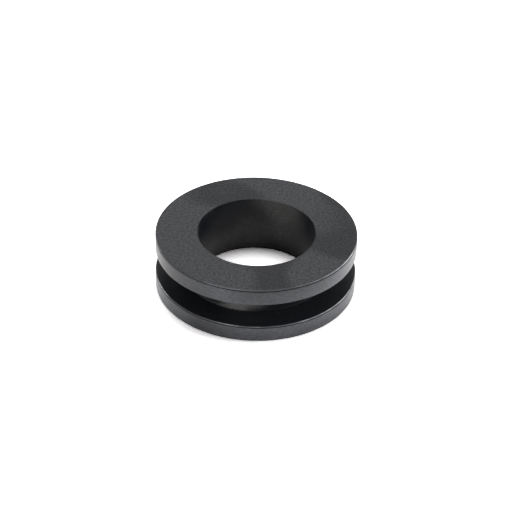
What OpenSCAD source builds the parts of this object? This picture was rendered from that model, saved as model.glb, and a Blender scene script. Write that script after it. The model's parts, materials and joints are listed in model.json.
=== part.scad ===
// Rubber grommet for lining a round hole in a panel: one moulded ring, with a
// flange on each side of the groove that the panel's edge sits in. The mould
// parts just below the upper edge of each flange and leaves a fine line there.
// It stands on its lower flange at Z = 0, and its bore runs along the Z axis.
// All sizes are in millimetres.

/* [Flanges] */
// Outside diameter of both flanges
flange_d = 35; // [28:0.1:60]
// Thickness of each flange
flange_t = 3; // [1.2:0.1:8]
// Radius on the outer edges of the flanges
flange_edge_r = 0.15; // [0.05:0.05:0.5]

/* [Parting line] */
// Flat land between a flange's upper edge radius and its parting line
parting_land = 0.05; // [0:0.05:0.3]
// Height of the line on the rim
parting_w = 0.15; // [0.05:0.05:0.3]
// Depth of the line below the rim
parting_depth = 0.15; // [0.05:0.05:0.3]

/* [Panel groove] */
// Diameter of the groove's floor, which fills the hole in the panel
groove_d = 26; // [22:0.1:33]
// Width of the groove, which is the thickness of the panel it takes
groove_w = 4.5; // [1:0.1:12]
// Radius in the corners of the groove's floor
groove_root_r = 0.4; // [0.05:0.05:0.5]

/* [Bore] */
// Diameter of the bore, which the cable or pipe passes through
bore_d = 20.4; // [4:0.1:24]
// Radius on the lips at both ends of the bore
bore_lip_r = 0.1; // [0.05:0.05:0.5]

/* [Hidden] */

flange_r = flange_d / 2;
groove_r = groove_d / 2;
bore_r = bore_d / 2;
groove_bottom = flange_t;
groove_top = groove_bottom + groove_w;
height = groove_top + flange_t;

// How far a cutter runs past the surface that it opens
overcut = 1;

$fn = 96;

// Half section of one flange, rounded on its two outer edges
module flange_section(bottom) {
    translate([0, bottom]) {
        square([flange_r - flange_edge_r, flange_t]);
        translate([0, flange_edge_r]) square([flange_r, flange_t - 2 * flange_edge_r]);
        for (z = [flange_edge_r, flange_t - flange_edge_r])
            translate([flange_r - flange_edge_r, z]) circle(flange_edge_r);
    }
}

// Cut for the parting line in a rim, below the flange's upper face at the given height
module parting_section(top) {
    translate([flange_r - parting_depth, top - flange_edge_r - parting_land - parting_w])
        square([parting_depth + overcut, parting_w]);
}

// Material left in a corner that opens towards +X and +Y by a fillet of radius r
module corner_fillet(r) {
    difference() {
        square(r);
        translate([r, r]) circle(r);
    }
}

// Half section of the hub that joins the flanges, with the groove's rounded roots
module hub_section() {
    square([groove_r, height]);
    translate([groove_r, groove_bottom]) corner_fillet(groove_root_r);
    translate([groove_r, groove_top]) mirror([0, 1]) corner_fillet(groove_root_r);
}

// Half section of the bore, flared by its rounded lip at each end
module bore_section() {
    translate([0, -overcut]) square([bore_r, height + 2 * overcut]);
    translate([bore_r, 0]) corner_fillet(bore_lip_r);
    translate([bore_r, height]) mirror([0, 1]) corner_fillet(bore_lip_r);
}

module grommet() {
    color([0.2, 0.2, 0.21])
        rotate_extrude()
            difference() {
                union() {
                    flange_section(0);
                    flange_section(groove_top);
                    hub_section();
                }
                bore_section();
                parting_section(groove_bottom);
                parting_section(height);
            }
}

grommet();
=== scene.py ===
"""Rubber grommet on a white table: one moulded ring that lines a round hole in a panel."""

import json
import math

import bpy
from mathutils import Matrix, Vector


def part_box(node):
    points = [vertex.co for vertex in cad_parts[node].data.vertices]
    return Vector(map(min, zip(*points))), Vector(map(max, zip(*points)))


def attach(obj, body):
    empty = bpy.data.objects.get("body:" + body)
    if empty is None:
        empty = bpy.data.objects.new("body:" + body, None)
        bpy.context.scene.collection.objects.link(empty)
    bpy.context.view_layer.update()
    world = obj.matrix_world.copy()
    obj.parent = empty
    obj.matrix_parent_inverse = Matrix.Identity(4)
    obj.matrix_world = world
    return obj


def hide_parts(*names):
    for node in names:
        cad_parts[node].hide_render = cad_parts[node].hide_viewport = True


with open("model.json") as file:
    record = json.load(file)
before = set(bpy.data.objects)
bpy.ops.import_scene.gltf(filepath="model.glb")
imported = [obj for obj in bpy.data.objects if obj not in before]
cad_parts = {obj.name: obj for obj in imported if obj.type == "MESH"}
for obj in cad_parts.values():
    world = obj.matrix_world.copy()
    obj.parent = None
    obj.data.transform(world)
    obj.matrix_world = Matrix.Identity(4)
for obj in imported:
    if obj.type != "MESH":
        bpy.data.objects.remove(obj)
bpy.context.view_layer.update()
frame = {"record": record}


# ---------------------------------------------------------------------------
# The grommet. One ring of black rubber, moulded in one piece: a flange on each
# side of the groove that the panel's edge sits in. The mould parts just below
# each flange's upper edge, its faces are spark-eroded and its bore core is turned.
# ---------------------------------------------------------------------------

MM = 0.001

low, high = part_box("grommet")
mounts = {mount["name"]: mount for mount in frame["record"]["mounts"]}

# The flange is round, so its widest point, to 0.01 mm, is its radius.
ring_height = high.z - low.z
flange_radius = round(high.x, 5)
bore_radius = mounts["bore"]["dims"]["r_mm"] * MM
groove_radius = mounts["panel_groove"]["dims"]["r_mm"] * MM
groove_width = mounts["panel_groove"]["dims"]["length_mm"] * MM
flange_thickness = (ring_height - groove_width) / 2

flange_edge_radius = 0.15 * MM
groove_root_radius = 0.40 * MM
bore_lip_radius = 0.10 * MM
parting_land = 0.05 * MM
parting_width = 0.15 * MM
parting_depth = 0.15 * MM
parting_corner_radius = 0.02 * MM

segments_round_ring = 400
segments_in_fillet = 8
segments_in_fine_fillet = 2
longest_flat_step = 0.6 * MM

# One black rubber, as each face of the mould leaves it. The faces are the greyest, the
# rims the shiniest, and a pale highlight is painted on the rims' upper edges. The groove,
# hub, bore and parting line are painted blacker as shade; the hub has a painted grey highlight
# and the bore painted grey patches of light. No mark darkens a colour below the darkest
# tone, a share of that colour.
face_colour = (0.0440, 0.0455, 0.0490, 1.0)
rim_colour = (0.0328, 0.0352, 0.0400, 1.0)
# Pale painted highlight along the rims' upper edges.
edge_highlight_colour = (0.2800, 0.2850, 0.2930, 1.0)
# Painted shade in the hollows: the groove, hub and bore are darkened.
groove_shade_colour = (0.0135, 0.0148, 0.0175, 1.0)
hub_shade_colour = (0.0085, 0.0092, 0.0105, 1.0)
# Painted highlight on the hub's wall.
hub_highlight_colour = (0.1140, 0.1140, 0.1124, 1.0)
bore_shade_colour = (0.0034, 0.0041, 0.0058, 1.0)
# Painted patches of light on the bore's wall.
bore_light_patch_colour = (0.0540, 0.0536, 0.0524, 1.0)
# Painted shade in the parting line's channel.
line_shade_colour = (0.0020, 0.0020, 0.0022, 1.0)
darkest_tone = 0.1

face_roughness = 0.48
rim_roughness = 0.33
edge_highlight_roughness = 0.34
groove_roughness = 0.38
bore_roughness = 0.36
line_roughness = 0.80

face_reflection = 0.10
rim_reflection = 0.31
groove_reflection = 0.15
hub_reflection = 0.03
bore_reflection = 0.10
line_reflection = 0.03

# Spark grain on the faces, and broad patches of them a little darker than the rest.
grain_pitch = 0.42 * MM
grain_depth = 0.20 * MM
grain_fineness = 0.6
grain_contrast = 1.6
grain_shine = 0.30
patch_pitch = 14.0 * MM
patch_tone = 0.50
patch_range = (0.40, 0.52)
patch_seed = 14.728

# Fine turning marks round every wall, fainter in the groove and bore than on the rims.
mark_length = 0.6 * MM
mark_stretch = 3.2
mark_depth = 0.008 * MM
mark_fineness = 0.6
mark_contrast = 1.1
inner_mark_contrast = 0.7
mark_shine = 0.20
rim_mark_seed = 1.0
bore_mark_seed = 2.0
groove_mark_seed = 3.0

# Stretches of the rims darker or lighter than the rest, and stretches of their upper
# edges that carry a painted highlight.
stretch_pitch = 14.0 * MM
stretch_contrast = 2.2
stretch_seed = 10.4286
highlight_reach = 0.16 * MM
highlight_pitch = 6.0 * MM
highlight_range = (0.45, 0.65)
highlight_seed = 8.0676

# Soft grey patches: a painted highlight on the hub and painted patches of light in the bore.
hub_highlight_pitch = 8.0 * MM
hub_highlight_range = (0.50, 0.75)
hub_highlight_seed = 4.5624
bore_light_patch_pitch = 10.0 * MM
bore_light_patch_range = (0.35, 0.70)
bore_light_patch_seed = 31.074


def add_node(tree, kind, values=None, **settings):
    """A new node with its settings made and its inputs set or linked, by name or by number."""
    made = tree.nodes.new(kind)
    for name, value in settings.items():
        setattr(made, name, value)
    for socket, value in (values or {}).items():
        if isinstance(value, bpy.types.NodeSocket):
            tree.links.new(value, made.inputs[socket])
        else:
            made.inputs[socket].default_value = value
    return made


def maths(tree, operation, *values):
    """The output of a Math node."""
    return add_node(tree, "ShaderNodeMath", dict(enumerate(values)), operation=operation).outputs[0]


def distance_from_axis(tree, place):
    """How far a place is from the bore's axis."""
    parts = add_node(tree, "ShaderNodeSeparateXYZ", {0: place}).outputs
    flat = add_node(tree, "ShaderNodeCombineXYZ", {"X": parts["X"], "Y": parts["Y"]})
    length = add_node(tree, "ShaderNodeVectorMath", {0: flat.outputs[0]}, operation="LENGTH")
    return length.outputs["Value"]


def ring_sockets(tree):
    """Names the tree's inputs, which are lengths, counts and materials, and its one output."""
    names_by_kind = {
        "NodeSocketFloat": [
            "Flange Radius", "Flange Thickness", "Groove Radius", "Groove Width", "Bore Radius",
            "Edge Radius", "Root Radius", "Lip Radius", "Flat Step",
            "Parting Land", "Parting Width", "Parting Depth", "Parting Radius",
        ],
        "NodeSocketInt": ["Ring Segments", "Fillet Segments", "Fine Segments"],
        "NodeSocketMaterial": ["Rims", "Faces", "Groove", "Hub", "Bore", "Line"],
    }
    for kind, names in names_by_kind.items():
        for name in names:
            tree.interface.new_socket(name, in_out="INPUT", socket_type=kind)
    tree.interface.new_socket("Geometry", in_out="OUTPUT", socket_type="NodeSocketGeometry")
    return tree.nodes.new("NodeGroupInput").outputs


def ring_levels(tree, given):
    """The heights of the groove's bottom, the groove's top and the top face, from the underside."""
    groove_bottom = given["Flange Thickness"]
    groove_top = maths(tree, "ADD", groove_bottom, given["Groove Width"])
    top_face = maths(tree, "ADD", groove_top, given["Flange Thickness"])
    return groove_bottom, groove_top, top_face


def line_levels(tree, given, top):
    """The heights of the top and the bottom of the parting line below a flange's top."""
    below_edge = maths(tree, "ADD", given["Edge Radius"], given["Parting Land"])
    line_top = maths(tree, "SUBTRACT", top, below_edge)
    line_bottom = maths(tree, "SUBTRACT", line_top, given["Parting Width"])
    return line_top, line_bottom


def ring_corners(tree, given):
    """The section's corners, from the bore's lower lip outwards and back to its upper lip.

    Each is a radius from the axis, a height, a fillet and the fillet's segments.
    """
    flange, groove, bore = given["Flange Radius"], given["Groove Radius"], given["Bore Radius"]
    edge, root, lip = given["Edge Radius"], given["Root Radius"], given["Lip Radius"]
    many, few = given["Fillet Segments"], given["Fine Segments"]
    groove_bottom, groove_top, top_face = ring_levels(tree, given)

    def upper_rim(top):
        """The four corners of a flange's parting line, and the flange's upper edge."""
        line_floor = maths(tree, "SUBTRACT", flange, given["Parting Depth"])
        line_top, line_bottom = line_levels(tree, given, top)
        fine = given["Parting Radius"]
        return [
            (flange, line_bottom, fine, few),
            (line_floor, line_bottom, fine, few),
            (line_floor, line_top, fine, few),
            (flange, line_top, fine, few),
            (flange, top, edge, many),
        ]

    return [
        (bore, 0.0, lip, many),
        (flange, 0.0, edge, many),
        *upper_rim(groove_bottom),
        (groove, groove_bottom, root, many),
        (groove, groove_top, root, many),
        (flange, groove_top, edge, many),
        *upper_rim(top_face),
        (bore, top_face, lip, many),
    ]


def ring_section(tree, given):
    """The ring's half section: its corners joined up, filleted and cut into even steps."""
    reaches, heights, fillets, segments = zip(*ring_corners(tree, given))
    index = tree.nodes.new("GeometryNodeInputIndex").outputs[0]

    def by_corner(values, data_type="FLOAT"):
        """A value that differs from corner to corner."""
        switch = tree.nodes.new("GeometryNodeIndexSwitch")
        switch.data_type = data_type
        while len(switch.index_switch_items) < len(values):
            switch.index_switch_items.new()
        tree.links.new(index, switch.inputs["Index"])
        for number, value in enumerate(values):
            socket = switch.inputs[number + 1]
            if isinstance(value, bpy.types.NodeSocket):
                tree.links.new(value, socket)
            else:
                socket.default_value = value
        return switch.outputs[0]

    place = add_node(tree, "ShaderNodeCombineXYZ", {
        "X": by_corner(reaches),
        "Y": by_corner(heights),
    })
    line = add_node(tree, "GeometryNodeMeshLine", {"Count": len(reaches)})
    outline = add_node(tree, "GeometryNodeSetPosition", {
        "Geometry": line.outputs["Mesh"],
        "Position": place.outputs[0],
    })
    curve = add_node(tree, "GeometryNodeMeshToCurve", {"Mesh": outline.outputs[0]})
    closed = add_node(tree, "GeometryNodeSetSplineCyclic", {
        "Geometry": curve.outputs[0],
        "Cyclic": True,
    })
    rounded = add_node(tree, "GeometryNodeFilletCurve", {
        "Curve": closed.outputs[0],
        "Count": by_corner(segments, "INT"),
        "Radius": by_corner(fillets),
        "Limit Radius": True,
    }, mode="POLY")

    # The flats between fillets are cut into even steps, so that their shading stays flat.
    following = add_node(tree, "GeometryNodeOffsetPointInCurve", {
        "Point Index": index,
        "Offset": 1,
    })
    here = tree.nodes.new("GeometryNodeInputPosition").outputs[0]
    there = add_node(tree, "GeometryNodeFieldAtIndex", {
        "Index": following.outputs["Point Index"],
        "Value": here,
    }, data_type="FLOAT_VECTOR").outputs[0]
    span = add_node(tree, "ShaderNodeVectorMath", {0: here, 1: there}, operation="DISTANCE")
    steps = maths(tree, "DIVIDE", span.outputs["Value"], given["Flat Step"])
    stepped = add_node(tree, "GeometryNodeSubdivideCurve", {
        "Curve": rounded.outputs[0],
        "Cuts": maths(tree, "FLOOR", steps),
    })
    return stepped.outputs[0]


def swept_ring(tree, section, segments):
    """The section swept once round the bore's axis, as smooth closed faces that point outwards."""
    # The path's radius is taken off the section's X, which puts the section as far from the
    # axis as it was drawn. The half turn stands it upright on the path.
    path_radius = 1.0
    path = add_node(tree, "GeometryNodeCurvePrimitiveCircle", {
        "Resolution": segments,
        "Radius": path_radius,
    }, mode="RADIUS")
    inset = add_node(tree, "GeometryNodeTransform", {
        "Geometry": section,
        "Translation": (-path_radius, 0.0, 0.0),
        "Rotation": (math.pi, 0.0, 0.0),
    })
    swept = add_node(tree, "GeometryNodeCurveToMesh", {
        "Curve": path.outputs[0],
        "Profile Curve": inset.outputs[0],
    })
    outward = add_node(tree, "GeometryNodeFlipFaces", {"Mesh": swept.outputs[0]})
    smooth = add_node(tree, "GeometryNodeSetShadeSmooth", {
        "Geometry": outward.outputs[0],
        "Shade Smooth": True,
    })
    return add_node(tree, "GeometryNodeRealizeInstances", {"Geometry": smooth.outputs[0]}).outputs[0]


def skinned_ring(tree, ring, given):
    """The ring with a material on each part of its skin, by distance from the axis and height."""
    flange, groove, bore = given["Flange Radius"], given["Groove Radius"], given["Bore Radius"]
    edge, root, lip = given["Edge Radius"], given["Root Radius"], given["Lip Radius"]
    fine = given["Parting Radius"]
    groove_bottom, _, top_face = ring_levels(tree, given)
    here = tree.nodes.new("GeometryNodeInputPosition").outputs[0]
    reach = distance_from_axis(tree, here)
    level = add_node(tree, "ShaderNodeSeparateXYZ", {0: here}).outputs["Z"]

    def both(first, second):
        """1 where two conditions hold."""
        return maths(tree, "MULTIPLY", first, second)

    def off_line(top):
        """How far a height is from the middle of the parting line below a flange's top."""
        line_top, _ = line_levels(tree, given, top)
        half_width = maths(tree, "MULTIPLY", given["Parting Width"], 0.5)
        middle = maths(tree, "SUBTRACT", line_top, half_width)
        return maths(tree, "ABSOLUTE", maths(tree, "SUBTRACT", level, middle))

    in_bore = maths(tree, "LESS_THAN", reach, maths(tree, "ADD", bore, lip))
    half_height = maths(tree, "MULTIPLY", top_face, 0.5)
    off_middle = maths(tree, "ABSOLUTE", maths(tree, "SUBTRACT", level, half_height))
    at_an_end = maths(tree, "GREATER_THAN", off_middle, maths(tree, "SUBTRACT", half_height, edge))
    groove_reach = maths(tree, "MULTIPLY_ADD", given["Groove Width"], 0.5, edge)
    in_groove = maths(tree, "LESS_THAN", off_middle, groove_reach)
    inside_edge = maths(tree, "LESS_THAN", reach, maths(tree, "SUBTRACT", flange, edge))
    at_hub = maths(tree, "LESS_THAN", reach, maths(tree, "ADD", groove, root))
    nearest_line = maths(tree, "MINIMUM", off_line(groove_bottom), off_line(top_face))
    level_with_line = maths(tree, "LESS_THAN", nearest_line, given["Parting Width"])
    line_floor = maths(tree, "SUBTRACT", flange, given["Parting Depth"])
    below_skin = both(
        maths(tree, "LESS_THAN", reach, maths(tree, "SUBTRACT", flange, fine)),
        maths(tree, "GREATER_THAN", reach, maths(tree, "SUBTRACT", line_floor, fine)),
    )
    for skin, selection in [
        ("Rims", True),
        ("Faces", both(at_an_end, inside_edge)),
        ("Groove", both(in_groove, inside_edge)),
        ("Hub", both(in_groove, at_hub)),
        ("Bore", in_bore),
        ("Line", both(level_with_line, below_skin)),
    ]:
        values = {"Geometry": ring, "Selection": selection, "Material": given[skin]}
        ring = add_node(tree, "GeometryNodeSetMaterial", values).outputs[0]
    return ring


def ring_tree():
    """The ring, moulded from its sizes: its section, the sweep round the axis and its skins."""
    tree = bpy.data.node_groups.new("moulded ring", "GeometryNodeTree")
    given = ring_sockets(tree)
    ring = swept_ring(tree, ring_section(tree, given), given["Ring Segments"])
    finished = tree.nodes.new("NodeGroupOutput")
    tree.links.new(skinned_ring(tree, ring, given), finished.inputs[0])
    return tree


def ramp(tree, value, start, end):
    """0 up to start, 1 from end on, and a smooth rise between."""
    values = {"Value": value, "From Min": start, "From Max": end}
    return add_node(tree, "ShaderNodeMapRange", values, interpolation_type="SMOOTHSTEP").outputs[0]


def noise(tree, place, pitch, seed=0.0, detail=2.0, fineness=0.5):
    """A noise whose lumps are about one pitch across, with finer ones in them."""
    values = {
        "Vector": place,
        "W": seed,
        "Scale": 1.0 / pitch,
        "Detail": detail,
        "Roughness": fineness,
    }
    return add_node(tree, "ShaderNodeTexNoise", values, noise_dimensions="4D").outputs["Fac"]


def broad_patches(tree, place, pitch, seed):
    """A noise of broad soft patches, with little in them that is finer."""
    return noise(tree, place, pitch, seed=seed, detail=1.0)


def about(tree, value, middle, width):
    """A noise turned into a value round a middle, over a width."""
    return maths(tree, "MULTIPLY_ADD", value, width, middle - width / 2)


def spread(tree, value, contrast):
    """A noise as a factor about 1, further from it the higher the contrast."""
    return about(tree, value, 1.0, contrast * 2)


def mix(tree, factor, first, second, kind="FLOAT"):
    """The output of a Mix node."""
    values = {"Factor": factor, "A": first, "B": second}
    return add_node(tree, "ShaderNodeMix", values, data_type=kind).outputs["Result"]


def turning_marks(tree, place, seed):
    """Fine marks drawn out along a wall: a noise that is squeezed in height."""
    parts = add_node(tree, "ShaderNodeSeparateXYZ", {0: place}).outputs
    squeezed = add_node(tree, "ShaderNodeCombineXYZ", {
        "X": parts["X"],
        "Y": parts["Y"],
        "Z": maths(tree, "MULTIPLY", parts["Z"], mark_stretch),
    })
    return noise(tree, squeezed.outputs[0], mark_length, seed=seed, fineness=mark_fineness)


def rubber(name, reflection):
    """A new rubber material: its tree, its shader and the place that its patterns read."""
    material = bpy.data.materials.new(name)
    material.use_nodes = True
    tree = material.node_tree
    shader = tree.nodes["Principled BSDF"]
    shader.inputs["Specular IOR Level"].default_value = reflection
    place = tree.nodes.new("ShaderNodeTexCoord").outputs["Object"]
    return material, tree, shader, place


def finish(tree, shader, colour, tone, roughness, height):
    """Joins a toned colour, a roughness and a relief in metres to the shader."""
    never_black = maths(tree, "MAXIMUM", tone, darkest_tone)
    values = {0: colour, "Scale": never_black}
    toned = add_node(tree, "ShaderNodeVectorMath", values, operation="SCALE")
    tree.links.new(toned.outputs[0], shader.inputs["Base Color"])
    tree.links.new(roughness, shader.inputs["Roughness"])
    bump = add_node(tree, "ShaderNodeBump", {"Height": height, "Distance": 1.0, "Strength": 1.0})
    tree.links.new(bump.outputs[0], shader.inputs["Normal"])


def finish_inner_wall(tree, shader, place, colour, roughness, seed):
    """Finishes a wall that nothing rubs: a colour with faint turning marks in it."""
    marks = turning_marks(tree, place, seed)
    tone = spread(tree, marks, inner_mark_contrast)
    shine = about(tree, marks, roughness, mark_shine)
    finish(tree, shader, colour, tone, shine, maths(tree, "MULTIPLY", marks, mark_depth))


def face_rubber():
    """The two faces: fine spark grain, and broad patches a little darker than the rest."""
    material, tree, shader, place = rubber("black rubber faces", face_reflection)
    grain = noise(tree, place, grain_pitch, fineness=grain_fineness)
    patches = broad_patches(tree, place, patch_pitch, patch_seed)
    patched = mix(tree, ramp(tree, patches, *patch_range), patch_tone, 1.0)
    tone = maths(tree, "MULTIPLY", spread(tree, grain, grain_contrast), patched)
    roughness = about(tree, grain, face_roughness, grain_shine)
    relief = maths(tree, "MULTIPLY", grain, grain_depth)
    finish(tree, shader, face_colour[:3], tone, roughness, relief)
    return material


def rim_rubber():
    """The rims: turning marks, darker and lighter stretches, and a pale painted highlight on stretches
    of their upper edges.
    """
    material, tree, shader, place = rubber("black rubber rims", rim_reflection)

    def near_edge(edge_level):
        """1 on a flange's outer edge at a height, down to 0 a little way off it."""
        level = add_node(tree, "ShaderNodeSeparateXYZ", {0: place}).outputs["Z"]
        gap = add_node(tree, "ShaderNodeCombineXYZ", {
            "X": maths(tree, "SUBTRACT", distance_from_axis(tree, place), flange_radius),
            "Y": maths(tree, "SUBTRACT", level, edge_level),
        })
        distance = add_node(tree, "ShaderNodeVectorMath", {0: gap.outputs[0]}, operation="LENGTH")
        off_edge = ramp(tree, distance.outputs["Value"], highlight_reach / 2, highlight_reach)
        return maths(tree, "SUBTRACT", 1.0, off_edge)

    # A pale highlight painted on stretches of the rims' upper edges.
    upper_edges = maths(tree, "MAXIMUM", near_edge(flange_thickness), near_edge(ring_height))
    highlit_stretches = ramp(tree, noise(tree, place, highlight_pitch, seed=highlight_seed), *highlight_range)
    edge_highlight = maths(tree, "MULTIPLY", upper_edges, highlit_stretches)
    colour = mix(tree, edge_highlight, rim_colour, edge_highlight_colour, "RGBA")

    marks = turning_marks(tree, place, rim_mark_seed)
    stretches = broad_patches(tree, place, stretch_pitch, stretch_seed)
    along = spread(tree, stretches, stretch_contrast)
    tone = maths(tree, "MULTIPLY", spread(tree, marks, mark_contrast), along)
    roughness = mix(tree, edge_highlight, about(tree, marks, rim_roughness, mark_shine), edge_highlight_roughness)
    finish(tree, shader, colour, tone, roughness, maths(tree, "MULTIPLY", marks, mark_depth))
    return material


def groove_rubber():
    """The groove's two sides, duller than the rims because nothing rubs them, and painted dark as
    shade.
    """
    material, tree, shader, place = rubber("black rubber groove", groove_reflection)
    finish_inner_wall(tree, shader, place, groove_shade_colour[:3], groove_roughness, groove_mark_seed)
    return material


def hub_rubber():
    """The hub's wall, at the bottom of the groove: dull, painted dark as shade, with a painted grey
    highlight that stops at its roots.
    """
    material, tree, shader, place = rubber("black rubber hub", hub_reflection)
    root_end = groove_radius + groove_root_radius
    off_wall = ramp(tree, distance_from_axis(tree, place), groove_radius, root_end)
    on_wall = maths(tree, "SUBTRACT", 1.0, off_wall)
    patches = broad_patches(tree, place, hub_highlight_pitch, hub_highlight_seed)
    # Grey painted highlight on the hub's wall.
    painted_light = maths(tree, "MULTIPLY", ramp(tree, patches, *hub_highlight_range), on_wall)
    colour = mix(tree, painted_light, hub_shade_colour, hub_highlight_colour, "RGBA")
    finish_inner_wall(tree, shader, place, colour, groove_roughness, groove_mark_seed)
    return material


def bore_rubber():
    """The bore's wall, smoother than the faces, painted dark as shade, with soft grey patches of
    painted light.
    """
    material, tree, shader, place = rubber("black rubber bore", bore_reflection)
    patches = broad_patches(tree, place, bore_light_patch_pitch, bore_light_patch_seed)
    # Grey patches of painted light on the bore's wall.
    painted_light = ramp(tree, patches, *bore_light_patch_range)
    colour = mix(tree, painted_light, bore_shade_colour, bore_light_patch_colour, "RGBA")
    finish_inner_wall(tree, shader, place, colour, bore_roughness, bore_mark_seed)
    return material


def line_rubber():
    """The parting line's channel, dull and painted near black as shade."""
    material, tree, shader, place = rubber("black rubber parting line", line_reflection)
    line_noise = noise(tree, place, grain_pitch)
    tone = spread(tree, line_noise, mark_contrast)
    roughness = about(tree, line_noise, line_roughness, mark_shine)
    relief = maths(tree, "MULTIPLY", line_noise, mark_depth)
    finish(tree, shader, line_shade_colour[:3], tone, roughness, relief)
    return material


def modifier_input(modifier, name, value):
    """Sets a tree's named input by its socket's identifier."""
    for socket in modifier.node_group.interface.items_tree:
        if socket.name == name and socket.in_out == "INPUT":
            modifier[socket.identifier] = value


def make_grommet():
    """The ring as a plain mesh, at its place in the frame."""
    blank = bpy.data.objects.new("ring blank", bpy.data.meshes.new("ring blank"))
    bpy.context.scene.collection.objects.link(blank)
    modifier = blank.modifiers.new("moulding", "NODES")
    modifier.node_group = ring_tree()
    inputs = {
        "Flange Radius": flange_radius,
        "Flange Thickness": flange_thickness,
        "Groove Radius": groove_radius,
        "Groove Width": groove_width,
        "Bore Radius": bore_radius,
        "Edge Radius": flange_edge_radius,
        "Root Radius": groove_root_radius,
        "Lip Radius": bore_lip_radius,
        "Flat Step": longest_flat_step,
        "Parting Land": parting_land,
        "Parting Width": parting_width,
        "Parting Depth": parting_depth,
        "Parting Radius": parting_corner_radius,
        "Ring Segments": segments_round_ring,
        "Fillet Segments": segments_in_fillet,
        "Fine Segments": segments_in_fine_fillet,
        "Rims": rim_rubber(),
        "Faces": face_rubber(),
        "Groove": groove_rubber(),
        "Hub": hub_rubber(),
        "Bore": bore_rubber(),
        "Line": line_rubber(),
    }
    for name, value in inputs.items():
        modifier_input(modifier, name, value)
    graph = bpy.context.evaluated_depsgraph_get()
    mesh = bpy.data.meshes.new_from_object(blank.evaluated_get(graph))
    bpy.data.objects.remove(blank)
    ring = bpy.data.objects.new("moulded_grommet", mesh)
    bpy.context.scene.collection.objects.link(ring)
    return ring


grommet = make_grommet()
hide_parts("grommet")
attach(grommet, "root")


# ---------------------------------------------------------------------------
# The table. A broad sheet of matt white paper that the ring lies on, lit so that
# it is pure white away from the ring and keeps the ring's soft shadow.
# ---------------------------------------------------------------------------

table_half_width = 0.5
table_colour = (0.80, 0.80, 0.80, 1.0)
table_gain_colour = (1.30, 1.27, 1.28, 1.0)


def seen_or_mirrored(tree):
    """1 where a surface is seen straight, through glass or in a gloss, 0 where it only lights."""
    ray = tree.nodes.new("ShaderNodeLightPath").outputs
    seen = maths(tree, "MAXIMUM", ray["Is Camera Ray"], ray["Is Transmission Ray"])
    return maths(tree, "MAXIMUM", seen, ray["Is Glossy Ray"])


def table_material():
    """White paper, seen and mirrored brighter than it lights, so that only the shadow shows."""
    material = bpy.data.materials.new("white table")
    material.use_nodes = True
    tree = material.node_tree
    tree.nodes.clear()
    paper = add_node(tree, "ShaderNodeBsdfDiffuse", {"Color": table_colour})
    extra = add_node(tree, "ShaderNodeBsdfDiffuse", {"Color": table_gain_colour})
    brighter = add_node(tree, "ShaderNodeAddShader", {0: paper.outputs[0], 1: extra.outputs[0]})
    chosen = add_node(tree, "ShaderNodeMixShader", {
        0: seen_or_mirrored(tree),
        1: paper.outputs[0],
        2: brighter.outputs[0],
    })
    output = tree.nodes.new("ShaderNodeOutputMaterial")
    tree.links.new(chosen.outputs[0], output.inputs["Surface"])
    return material


def make_table():
    """A square sheet that the ring's lower flange rests on."""
    w = table_half_width
    mesh = bpy.data.meshes.new("table")
    mesh.from_pydata([(-w, -w, 0), (w, -w, 0), (w, w, 0), (-w, w, 0)], [], [(0, 1, 2, 3)])
    mesh.materials.append(table_material())
    sheet = bpy.data.objects.new("table", mesh)
    bpy.context.scene.collection.objects.link(sheet)
    return sheet


table = make_table()


# ---------------------------------------------------------------------------
# The light. Five soft boxes stand round the table, each facing the ring, in a
# pale room that reads as white and fills the shadows a little.
# ---------------------------------------------------------------------------

ring_centre = Vector((0.0, 0.0, ring_height / 2))
box_width = 0.5
box_distance = 1.0
room_level = 0.1
white_level = 1.0
white = (1.0, 1.0, 1.0, 1.0)


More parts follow.
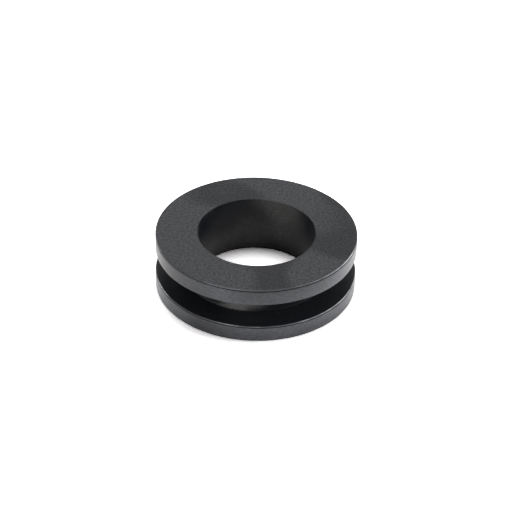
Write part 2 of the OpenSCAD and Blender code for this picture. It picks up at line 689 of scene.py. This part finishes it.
def soft_box(name, azimuth, elevation, strength, mirrored=True):
    """A square lamp facing the ring. Azimuth 0 is behind the camera and 90 is to its right."""
    turn, rise = math.radians(azimuth), math.radians(elevation)
    across, up = math.cos(rise), math.sin(rise)
    aside = Vector((math.sin(turn) * across, -math.cos(turn) * across, up))
    lamp = bpy.data.lights.new(name, "AREA")
    lamp.size = box_width
    lamp.energy = strength
    box = bpy.data.objects.new(name, lamp)
    box.location = ring_centre + aside * box_distance
    box.rotation_euler = aside.to_track_quat("Z", "Y").to_euler()
    box.visible_glossy = mirrored
    bpy.context.scene.collection.objects.link(box)


# The right box isn't mirrored, because its glare would hide the faces from low on the left.
soft_box("overhead", 180, 76, 7.6)
soft_box("right", 90, 12, 8.0, mirrored=False)
soft_box("right front", 67.5, 22, 1.5)
soft_box("front left", 318, 12, 4.6)
soft_box("front", 342, 14, 1.4)


def make_room():
    """An even room that is white where it is seen or mirrored, and lights the ring gently."""
    world = bpy.data.worlds.new("pale room")
    bpy.context.scene.world = world
    world.use_nodes = True
    tree = world.node_tree
    tree.nodes.clear()
    room = add_node(tree, "ShaderNodeBackground", {"Color": white, "Strength": room_level})
    backdrop = add_node(tree, "ShaderNodeBackground", {"Color": white, "Strength": white_level})
    chosen = add_node(tree, "ShaderNodeMixShader", {
        0: seen_or_mirrored(tree),
        1: room.outputs[0],
        2: backdrop.outputs[0],
    })
    output = tree.nodes.new("ShaderNodeOutputWorld")
    tree.links.new(chosen.outputs[0], output.inputs["Surface"])


make_room()
bpy.context.scene.view_settings.view_transform = "Standard"


# ---------------------------------------------------------------------------
# The camera. A long lens above the front of the table, held very slightly out
# of level and aimed just above the ring's centre.
# ---------------------------------------------------------------------------

camera_distance = 340.3 * MM
camera_elevation = 34.91
camera_roll = 1.35
camera_lens = 137.1
camera_sensor = 36.0
camera_nearest = 10.0 * MM
aim = ring_centre + Vector((0.01 * MM, 0.0, 0.09 * MM))


def make_camera():
    """A camera that looks at the ring from the front and above."""
    lens = bpy.data.cameras.new("camera")
    lens.lens = camera_lens
    lens.sensor_width = camera_sensor
    lens.clip_start = camera_nearest
    camera = bpy.data.objects.new("camera", lens)
    rise = math.radians(camera_elevation)
    back = Vector((0.0, -math.cos(rise), math.sin(rise)))
    roll = Matrix.Rotation(math.radians(camera_roll), 4, "Z")
    facing = back.to_track_quat("Z", "Y").to_matrix().to_4x4() @ roll
    camera.matrix_world = Matrix.Translation(aim + back * camera_distance) @ facing
    bpy.context.scene.collection.objects.link(camera)
    bpy.context.scene.camera = camera


make_camera()
